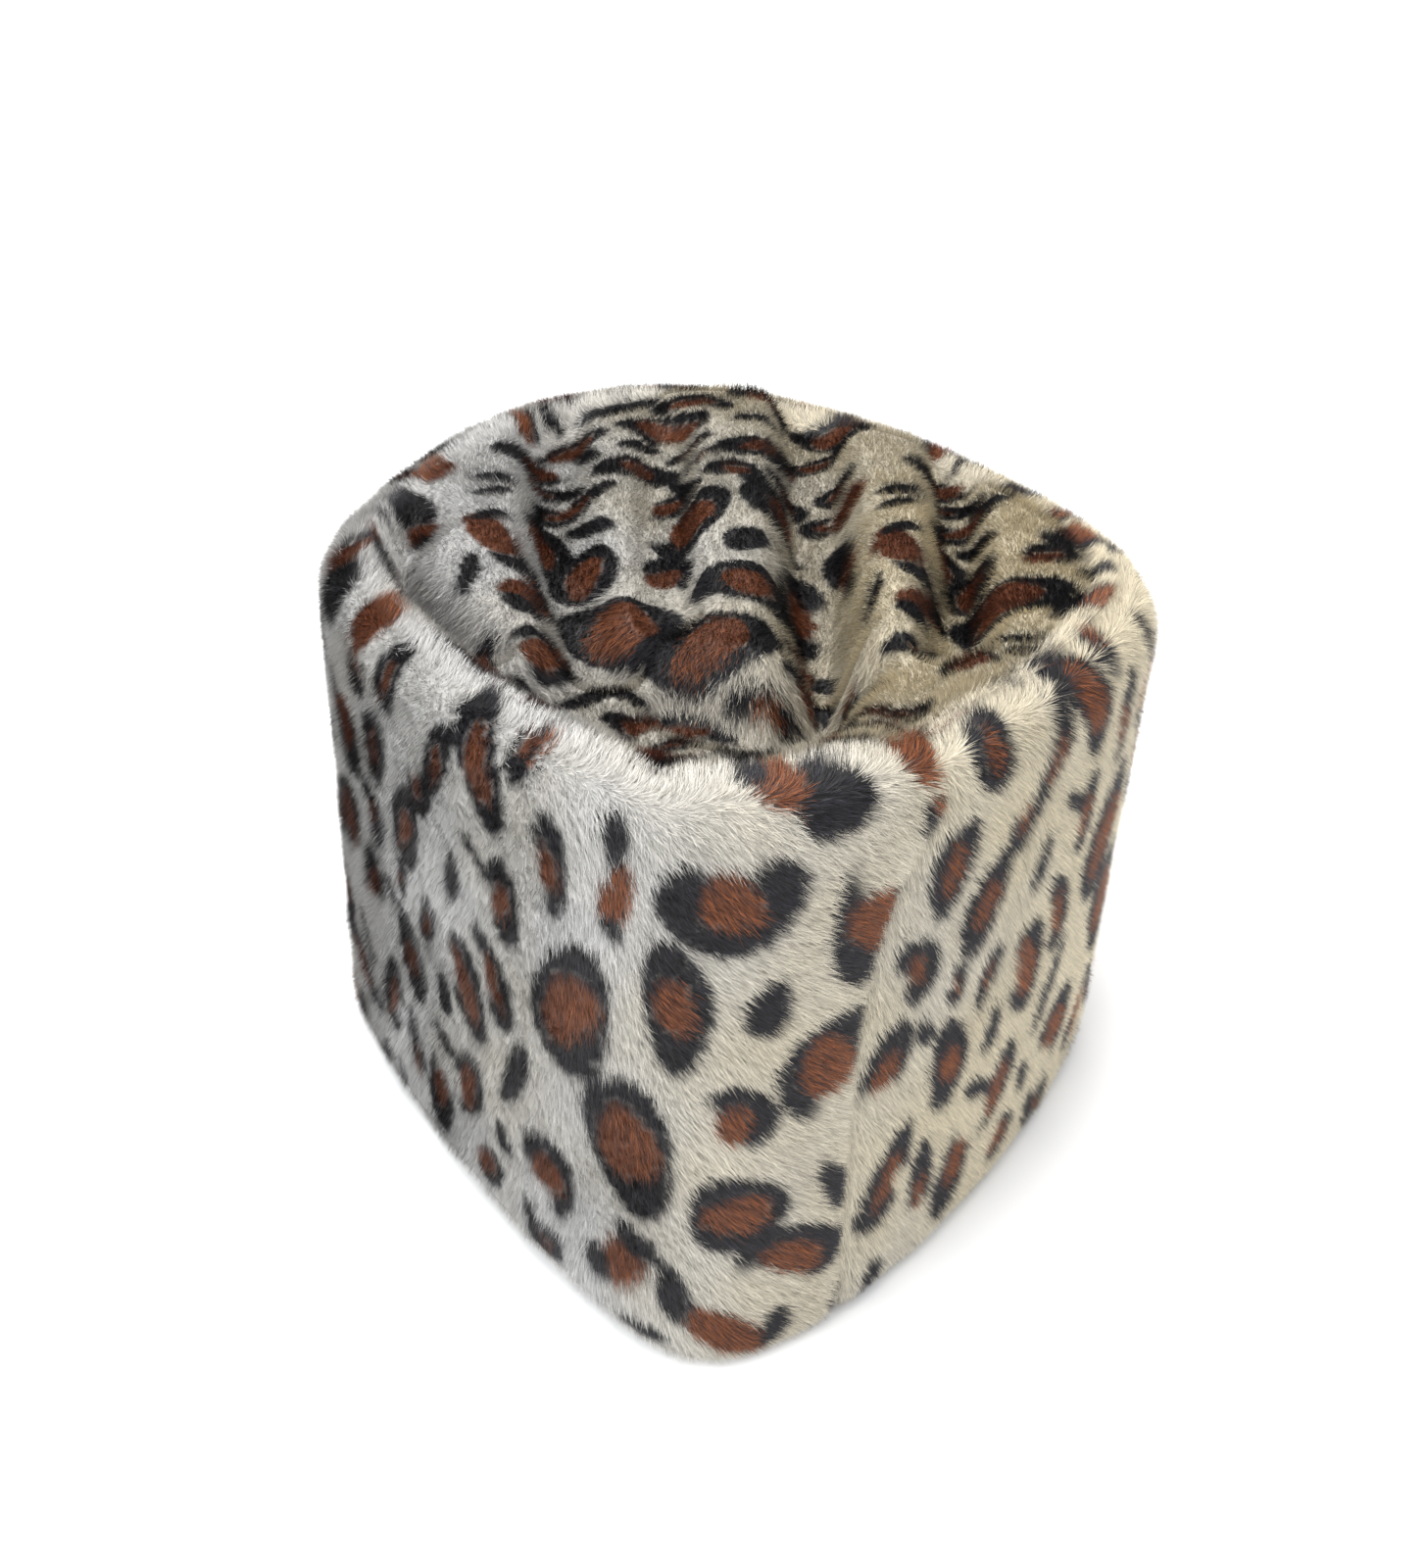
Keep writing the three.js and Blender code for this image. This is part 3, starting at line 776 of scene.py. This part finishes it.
def crown_pile(name, count):
    """Pile of the whole crown."""
    fields = [crown_top[..., 0], crown_top[..., 1], share_grid, turn_grid]
    thick = 1 + MEETING_THICK * ease((share_grid - 0.95) / 0.03)
    root, normal, (x, y, share, angle) = scatter(crown_points, fields, count, thick)
    right = unit(np.array([1.0, 0, 0]) - normal * normal[:, :1])
    way = crown_way(x, y)
    comb = CROWN_NAP + 26 * waves(*way, 24, 12)
    outward = np.degrees(angle) - 90
    by_seam = ease((share - 0.93) / 0.05)
    off = (outward - comb + 180) % 360 - 180
    comb = comb + off * by_seam
    ragged = ease((share - 0.84) / 0.14) * np.exp(-(((angle - RAGGED_AT) / RAGGED_HALF) ** 2))
    comb = comb + RAGGED_TURN * ragged
    ruffle = 1.05 + 0.6 * ragged + 0.3 * waves(*way, 13, 15)
    length = PILE_LENGTH * (1 + 0.5 * ragged + 0.12 * waves(*way, 9, 18))
    flat = np.stack([x / CROWN_WIDTH + 0.5, y / CROWN_WIDTH + 0.5], 1)

    def look_up(jitter):
        return crown_print(x + jitter[0], y + jitter[1])

    made = strands(name, root, normal, right, comb, way, length, ruffle, look_up, flat)
    return strand_mesh(*made)


crown_fur = crown_pile("crown_pile", STRANDS_A_PIECE)
print("crown pile", len(crown_fur.data.polygons), "triangles")

# %% [markdown]
# The backings carry the print too, so that where the pile parts the colour goes on below it. The
# same attribute serves: dark, brown, chance and a place near the root, which dims the backing with
# the painted shade of the roots.

# %% Print on the backings
# the backing's chance, and its place along a strand, which dims it as painted shade under the pile
BETWEEN_STRANDS, NEAR_THE_ROOT = 0.5, 0.3


def stain(piece, dark, brown):
    """Lays the print on a backing's points."""
    carried = piece.data.attributes.new("print", "FLOAT_COLOR", "POINT")
    paint = np.stack([dark, brown, dark * 0 + BETWEEN_STRANDS, dark * 0 + NEAR_THE_ROOT], 1)
    carried.data.foreach_set("color", paint.astype(np.float32).ravel())


def places(piece):
    """A piece's points in millimetres, from the middle of the head."""
    found = np.empty(3 * len(piece.data.vertices))
    piece.data.vertices.foreach_get("co", found)
    found = found.reshape(-1, 3) / MM
    found[:, :2] += PLAN_MIDDLE
    return found


on_band = places(band)
on_crown = places(crown)
stain(band, *band_print(band_way(np.arctan2(on_band[:, 0], -on_band[:, 1])), on_band[:, 2]))
stain(crown, *crown_print(on_crown[:, 0], on_crown[:, 1]))
print("print laid on", len(on_band) + len(on_crown), "points of the backings")

# %% [markdown]
# The looks of the cloth are sums of a few numbers: how dark, how brown, how far along the strand.
# They could be wired node by node, but that hides the sum. So arithmetic is written as ordinary
# sums on sockets, and one more method makes any other node.

# %% Shader sockets
class Socket:
    """An output of a shader node that can be reckoned with."""

    def __init__(self, tree, out):
        self.tree, self.out = tree, out

    def node(self, kind, inputs=None, output=0, **settings):
        made = self.tree.nodes.new(kind)
        for name, value in settings.items():
            setattr(made, name, value)
        for name, value in (inputs or {}).items():
            if isinstance(value, Socket):
                self.tree.links.new(value.out, made.inputs[name])
            else:
                made.inputs[name].default_value = value
        return Socket(self.tree, made.outputs[output])

    def beside(self, output):
        """Another output of the same node."""
        return Socket(self.tree, self.out.node.outputs[output])

    def into(self, entry):
        """Feeds an input of a shader."""
        self.tree.links.new(self.out, entry)

    def sum_of(self, operation, *others):
        return self.node("ShaderNodeMath", dict(enumerate((self, *others))), operation=operation)

    def __add__(self, other):
        return self.sum_of("ADD", other)

    def __sub__(self, other):
        return self.sum_of("SUBTRACT", other)

    def __rsub__(self, other):
        return self * -1 + other

    def __mul__(self, other):
        return self.sum_of("MULTIPLY", other)

    __radd__, __rmul__ = __add__, __mul__

    def held(self):
        """The value kept between 0 and 1."""
        return self.node("ShaderNodeClamp", {"Value": self})

    def blend(self, low, high):
        """Low where this is 0 and high where it is 1; both are colours."""
        return self.node("ShaderNodeMix", {0: self, 6: low, 7: high}, output=2, data_type="RGBA")


def linear(red, green, blue):
    """A colour as the eye names it, 0 to 255, in the renderer's own linear numbers."""
    shares = (c / 255 for c in (red, green, blue))
    return (*(c / 12.92 if c < 0.04 else ((c + 0.055) / 1.055) ** 2.4 for c in shares), 1.0)


def new_material(name):
    """A material, its shader and the place on the piece."""
    made = bpy.data.materials.new(name)
    made.use_nodes = True
    shader = made.node_tree.nodes["Principled BSDF"]
    place = made.node_tree.nodes.new("ShaderNodeTexCoord").outputs["Object"]
    return made, shader, Socket(made.node_tree, place)


# %% [markdown]
# The ground of the print is an undyed pile with patches of cool white and cream. From left to
# right it also warms from cool to cream: partly the cloth's own tone, partly painted warm light on
# the right side. The dark is a near-black and the brown a warm tan with some dark strands in it.
# Every strand is a little lighter or darker than the next, which gives the salt and pepper look.
# Its root is dim, painted shade down among the strands, and its tip is pale, partly painted sheen
# that turns the dark tips bluish. A texture image could hold the print, but the strands carry it
# themselves, so it stays sharp at any distance.

# %% Fur material
COOL_PILE, CREAM_PILE = linear(226, 225, 223), linear(234, 222, 194)
# root and tip colours: the darker roots are partly painted shade, the paler tips, bluish grey on the
# dark, partly painted sheen
DARK_INK, DARK_TIP = linear(9, 8, 12), linear(84, 82, 98)
BROWN_INK, BROWN_TIP = linear(86, 43, 23), linear(182, 106, 60)
# how strongly the ground's patches show, and how fast it warms towards the right, a metre: partly
# the cloth's own tone, partly painted warm light on the right side
PATCHES, WARMER_RIGHT = 1.4, 9.0
# the darkest strand's share of the light, and what chance adds
GRAIN_LEAST, GRAIN_MORE = 0.54, 0.7


def fur_material(name, root_shade):
    """Printed pile, whose roots have a share of the tips' light."""
    made, shader, place = new_material(name)
    carried = place.node("ShaderNodeAttribute", attribute_name="print")
    split = carried.node("ShaderNodeSeparateColor", {"Color": carried})
    dark, brown, chance = (split.beside(colour) for colour in ("Red", "Green", "Blue"))
    along = carried.beside("Alpha")
    patches = place.node("ShaderNodeTexNoise", {"Vector": place, "Scale": 22.0, "Detail": 2.0})
    side = place.node("ShaderNodeSeparateXYZ", {"Vector": place})
    # random patches of cool and cream, and a warming towards the right that is partly painted warm
    # light
    warm = ((patches - 0.5) * PATCHES + side * WARMER_RIGHT + 0.5).held()
    ground = warm.blend(COOL_PILE, CREAM_PILE)
    # chance gives each strand its own tone; the rise along the strand is painted shade at the root and
    # partly painted sheen at the tip
    tone_and_tip_light = (along * 0.5 + chance * 0.75 - 0.32).held()
    streak = (1.7 - chance * 7).held() * 0.7
    tan = streak.blend(tone_and_tip_light.blend(BROWN_INK, BROWN_TIP), DARK_INK)
    colour = brown.held().blend(ground, tan)
    colour = (dark * 1.04).held().blend(colour, (tone_and_tip_light * tone_and_tip_light * 0.7).blend(DARK_INK, DARK_TIP))
    # each strand's own tone by chance, with its root dimmed as painted shade among the strands
    light = (chance * GRAIN_MORE + GRAIN_LEAST) * (along * (1 - root_shade) + root_shade)
    grey = light.node("ShaderNodeCombineColor", {"Red": light, "Green": light, "Blue": light})
    colour = colour.node("ShaderNodeMix", {0: 1.0, 6: colour, 7: grey}, output=2,
                         data_type="RGBA", blend_type="MULTIPLY")
    colour.into(shader.inputs["Base Color"])
    (chance * 0.3 + 0.34).into(shader.inputs["Roughness"])
    shader.inputs["Specular IOR Level"].default_value = 0.35
    shader.inputs["Sheen Weight"].default_value = 0.04
    shader.inputs["Sheen Roughness"].default_value = 0.4
    return made


# the backing gets a smaller root share than the pile, which dims it as painted shade under the pile
pile_fur = fur_material("printed_pile", 0.62)
under_fur = fur_material("printed_backing", 0.5)
for piece in (*pile, crown_fur):
    piece.data.materials.append(pile_fur)
print("pile is drawn with", pile_fur.name, "and the cloth under it with", under_fur.name)

# %% [markdown]
# Inside, the knitted back of the cloth shows: fine rows of loops in undyed cream. Loops of their
# own would be lost in the dark of the hat, so two crossed bands of waves raise them as a bump, and
# the colour darkens where the bump is low, as painted shade between the loops. The rows of each
# backing that face the inside take this finish, and those under the pile the print's.

# %% Knitted backing
# the colour low between the loops, darkened as painted shade, and on top of them
BETWEEN_LOOPS, LOOP_CREAM = linear(168, 158, 138), linear(218, 210, 192)


def knit_material(name):
    """The knitted back of fur cloth."""
    made, shader, place = new_material(name)
    wale = {"Vector": place, "Scale": 250.0, "Distortion": 1.5, "Detail": 2.0}
    wale = place.node("ShaderNodeTexWave", wale, wave_type="BANDS")
    course = {"Vector": place, "Scale": 300.0, "Distortion": 1.2, "Detail": 1.0}
    course = place.node("ShaderNodeTexWave", course, wave_type="BANDS", bands_direction="Z")
    wear = place.node("ShaderNodeTexNoise", {"Vector": place, "Scale": 40.0, "Detail": 4.0})
    loops = (wale * course * 0.8 + wear * 0.3).held()
    # the colour follows the bump's hollows: painted shade between the loops
    loops.blend(BETWEEN_LOOPS, LOOP_CREAM).into(shader.inputs["Base Color"])
    bump = loops.node("ShaderNodeBump", {"Height": loops, "Strength": 0.6, "Distance": 0.0006})
    bump.into(shader.inputs["Normal"])
    shader.inputs["Roughness"].default_value = 0.9
    return made


knit = knit_material("knitted_back")
for piece, rows, rows_with_pile in (
    (band, section, OUTER_ROWS + TURN_ROWS), (crown, crown_surface, CROWN_ROWS + 1),
):
    piece.data.materials.append(under_fur)
    piece.data.materials.append(knit)
    maps = piece.data.uv_layers["OFBake"].data
    for face in piece.data.polygons:
        height = sum(maps[i].uv[1] for i in face.loop_indices) / face.loop_total
        face.material_index = int(height * (len(rows) - 1) > rows_with_pile + 0.5)
print("materials", [m.name for m in bpy.data.materials])

# %% [markdown]
# Each piece stands for its solid, which is hidden, and rides on the hat's one body.

# %% Ties to the frame
for piece, node, slot in (
    (band, "side_band", "band_fur"), (pile[0], "side_band", "band_fur"),
    (pile[1], "side_band", "band_fur"), (pile[2], "side_band", "band_fur"),
    (crown, "crown", "crown_fur"), (crown_fur, "crown", "crown_fur"),
):
    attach(piece, "root")
    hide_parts(node)
    print(piece.name, "belongs to", node)

# %% [markdown]
# Both backings are cloth that was cut flat, and the pile goes with them. The band would be a straight
# strip as long as the hat is around its foot, and as wide as the climb to the crown with the hem.
# The crown would be a rounded piece, a fifth larger than the surface that it ends as, and the fine
# gathers of its edge take that up. The real cuts aren't known, and no flat pattern is drawn here.

# %% [markdown]
# The hat is seen from close by and from well above its rim, straight in front of the corner. A camera
# could be aimed at a point by a constraint, but its own three directions say the same with nothing
# left to work out later. They come from how far it looks down and how far it leans.

# %% Camera
# millimetres from the middle of the head and above the floor
CAMERA_AWAY, CAMERA_UP = 320.4, 275.5
LOOKS_DOWN, LEANS = math.radians(31.9), math.radians(0.58)
LENS, SHIFT_X, SHIFT_Y = 38.2, 0.0019, -0.0321
NEAREST_SEEN = 0.01


def place_facing(thing, at, to_right, to_top, to_back):
    """Stands a camera or a lamp at a place with its own three directions."""
    turned = np.stack([to_right, to_top, to_back], 1)
    thing.matrix_world = Matrix([[*row, way] for row, way in zip(turned, at)] + [[0, 0, 0, 1]])
    bpy.context.scene.collection.objects.link(thing)


forward = np.array([0, math.cos(LOOKS_DOWN), -math.sin(LOOKS_DOWN)])
level, upright = np.array([1.0, 0, 0]), np.array([0, math.sin(LOOKS_DOWN), math.cos(LOOKS_DOWN)])
sideways = level * math.cos(LEANS) + upright * math.sin(LEANS)
up = upright * math.cos(LEANS) - level * math.sin(LEANS)
stand = np.array([-PLAN_MIDDLE[0], -CAMERA_AWAY - PLAN_MIDDLE[1], CAMERA_UP]) * MM
view = bpy.data.cameras.new("photo_view")
view.lens, view.shift_x, view.shift_y, view.clip_start = LENS, SHIFT_X, SHIFT_Y, NEAREST_SEEN
camera = bpy.data.objects.new("photo_view", view)
place_facing(camera, stand, sideways, up, -forward)
bpy.context.scene.camera = camera
print("camera stands at", tuple(round(float(c), 3) for c in stand))

# %% [markdown]
# The cap stands on a pale floor in soft white surroundings. One broad light hangs overhead, a little
# behind the crown, so that its folds shade the cloth below them. A cooler one from the left and the
# front fills the walls. A single lamp would leave the near wall in the dark.

# %% Floor and light
FLOOR_HALF = 3.0
AIMED_AT = (0, 0, 0.08)
work = bmesh.new()
bmesh.ops.create_grid(work, x_segments=8, y_segments=8, size=FLOOR_HALF)
ground = bpy.data.meshes.new("floor")
work.to_mesh(ground)
work.free()
floor = bpy.data.objects.new("floor", ground)
bpy.context.scene.collection.objects.link(floor)
floor_look, floor_shader, _ = new_material("pale_floor")
floor_shader.inputs["Base Color"].default_value = linear(246, 246, 246)
floor_shader.inputs["Roughness"].default_value = 0.9
ground.materials.append(floor_look)


def soft_light(name, place, size, energy, colour):
    """A broad lamp that shines on the middle of the cap."""
    made = bpy.data.lights.new(name, "AREA")
    made.size, made.energy, made.color = size, energy, colour
    away = unit(np.array(place, float) - AIMED_AT)
    side = unit(np.cross((0, 0, 1), away))
    place_facing(bpy.data.objects.new(name, made), place, side, np.cross(away, side), away)


soft_light("key", (-0.05, 0.12, 1.6), 0.8, 24.0, (1.0, 0.975, 0.94))
soft_light("fill", (-1.1, -1.0, 0.9), 1.2, 21.0, (0.95, 0.975, 1.0))
surroundings = bpy.data.worlds.new("studio")
surroundings.use_nodes = True
bpy.context.scene.world = surroundings
background = surroundings.node_tree.nodes["Background"]
background.inputs["Color"].default_value = (0.98, 0.99, 1.0, 1.0)
background.inputs["Strength"].default_value = 1.0
bpy.context.scene.view_settings.view_transform = "Standard"
print("lamps", [lamp.name for lamp in bpy.data.lights])
